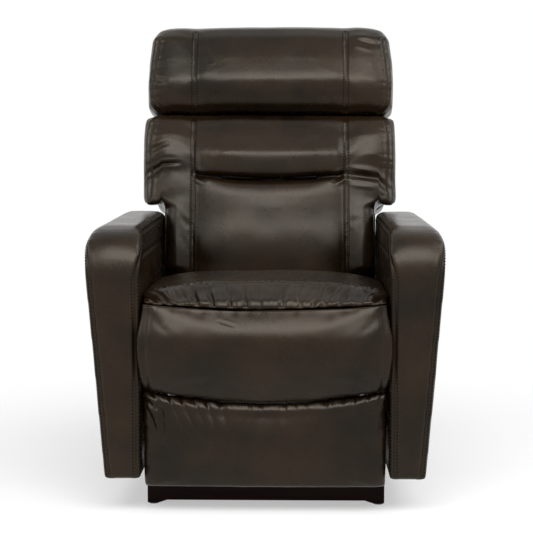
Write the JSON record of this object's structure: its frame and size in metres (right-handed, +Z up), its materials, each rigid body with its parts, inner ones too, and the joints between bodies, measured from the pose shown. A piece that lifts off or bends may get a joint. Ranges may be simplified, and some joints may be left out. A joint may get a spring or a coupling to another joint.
{
  "type": "rocker recliner",
  "caption": "Padded leather armchair that rocks on a wooden base, with a reclining back, a lever and a fold-out footrest on a lazy-tong linkage.",
  "frame": {"origin": "on the floor, under the middle of the chair's outline", "axes": "-Y to the front, +Z up, +X to the sitter's left"},
  "size_m": [0.78, 0.9006, 1.0986],
  "materials": {
    "leather": "two-tone mottled semi-gloss",
    "wood_mahogany": "dark stained lacquer",
    "wood_frame": "bare sawn hardwood and plywood",
    "plastic_black": "matte",
    "steel_black": "black satin paint",
    "spring_steel": "oil tempered",
    "steel_zinc": "zinc plated"
  },
  "bodies": {
    "base": {"base_front_rail": "wood_mahogany", "base_rear_rail": "wood_mahogany", "base_side_rail_left": "wood_mahogany", "base_side_rail_right": "wood_mahogany", "base_corner_blocks": "wood_frame", "floor_glides": "plastic_black", "spring_bracket_left": "steel_black", "spring_bracket_right": "steel_black", "rocker_springs_left": "spring_steel", "rocker_springs_right": "spring_steel"},
    "rocker": {"rocker_cam_left": "wood_frame", "rocker_cam_right": "wood_frame", "side_plate_left": "steel_black", "side_plate_right": "steel_black", "cross_tube_front": "steel_black", "cross_tube_rear": "steel_black", "arm_block_left": "wood_frame", "arm_block_right": "wood_frame", "arm_frame_left": "wood_frame", "arm_frame_right": "wood_frame", "arm_cover_left": "leather", "arm_cover_right": "leather", "seat_rail_left": "wood_frame", "seat_rail_right": "wood_frame", "seat_rail_front": "wood_frame", "seat_rail_rear": "wood_frame", "seat_springs": "spring_steel", "seat_cushion": "leather"},
    "back": {"back_bracket_left": "steel_black", "back_bracket_right": "steel_black", "back_post_left": "wood_frame", "back_post_right": "wood_frame", "back_rail_top": "wood_frame", "back_rail_low": "wood_frame", "back_cushion": "leather", "headrest": "leather", "back_cover": "leather"},
    "lift_links": {"lift_link_left": "steel_zinc", "lift_link_right": "steel_zinc"},
    "tail_links": {"tail_link_left": "steel_zinc", "tail_link_right": "steel_zinc"},
    "second_links": {"second_link_left": "steel_zinc", "second_link_right": "steel_zinc"},
    "third_links": {"third_link_left": "steel_zinc", "third_link_right": "steel_zinc"},
    "short_links": {"short_link_left": "steel_zinc", "short_link_right": "steel_zinc"},
    "footrest": {"footrest_bracket_left": "steel_zinc", "footrest_bracket_right": "steel_zinc", "footrest_board": "wood_frame", "footrest_pad": "leather"},
    "drive": {"drive_rod": "steel_zinc", "lever_arm": "steel_zinc", "lever_grip": "plastic_black"},
    "drive_links": {"drive_link_left": "steel_zinc", "drive_link_right": "steel_zinc"},
    "roll": {"front_roll": "leather"}
  },
  "joints": [
    {"name": "rock", "type": "hinge", "parent": "base", "child": "rocker", "pos_m": [0, 0, 0.285], "axis": [-1, 0, 0], "range_deg": [-4, 9], "stiffness_Nm_per_rad": 500, "deforming": ["rocker_springs_left", "rocker_springs_right"]},
    {"name": "back_recline", "type": "hinge", "parent": "rocker", "child": "back", "pos_m": [0, 0.165, 0.325], "axis": [-1, 0, 0], "range_deg": [0, 35]},
    {"name": "footrest_extend", "type": "hinge", "parent": "rocker", "child": "lift_links", "pos_m": [0, -0.28, 0.306], "axis": [-1, 0, 0], "range_deg": [0, 79]},
    {"name": "tail_link_turn", "type": "hinge", "parent": "lift_links", "child": "tail_links", "pos_m": [0, -0.29242, 0.22191], "axis": [-1, 0, 0], "range_deg": [-158, 0]},
    {"name": "second_link_turn", "type": "hinge", "parent": "lift_links", "child": "second_links", "pos_m": [0, -0.30484, 0.13782], "axis": [-1, 0, 0], "range_deg": [-158, 0]},
    {"name": "third_link_turn", "type": "hinge", "parent": "tail_links", "child": "third_links", "pos_m": [0, -0.29598, 0.30684], "axis": [-1, 0, 0], "range_deg": [0, 158]},
    {"name": "short_link_turn", "type": "hinge", "parent": "third_links", "child": "short_links", "pos_m": [0, -0.32081, 0.13866], "axis": [-1, 0, 0], "range_deg": [-158, 0]},
    {"name": "footrest_turn", "type": "hinge", "parent": "second_links", "child": "footrest", "pos_m": [0, -0.31196, 0.30767], "axis": [-1, 0, 0], "range_deg": [0, 158]},
    {"name": "lever_turn", "type": "hinge", "parent": "rocker", "child": "drive", "pos_m": [0, -0.115, 0.306], "axis": [-1, 0, 0], "range_deg": [0, 79]},
    {"name": "drive_link_turn", "type": "hinge", "parent": "drive", "child": "drive_links", "pos_m": [0, -0.12157, 0.26148], "axis": [-1, 0, 0], "range_deg": [-79, 0]},
    {"name": "front_roll_swing", "type": "hinge", "parent": "rocker", "child": "roll", "pos_m": [0, -0.448, 0.462], "axis": [-1, 0, 0], "range_deg": [0, 86.9]}
  ],
  "couplings": [
    {"joint": "tail_link_turn", "follows": "footrest_extend", "ratio": -2},
    {"joint": "second_link_turn", "follows": "footrest_extend", "ratio": -2},
    {"joint": "third_link_turn", "follows": "footrest_extend", "ratio": 2},
    {"joint": "short_link_turn", "follows": "footrest_extend", "ratio": -2},
    {"joint": "footrest_turn", "follows": "footrest_extend", "ratio": 2},
    {"joint": "lever_turn", "follows": "footrest_extend", "ratio": 1},
    {"joint": "drive_link_turn", "follows": "footrest_extend", "ratio": -1},
    {"joint": "front_roll_swing", "follows": "footrest_extend", "ratio": 1.1}
  ]
}
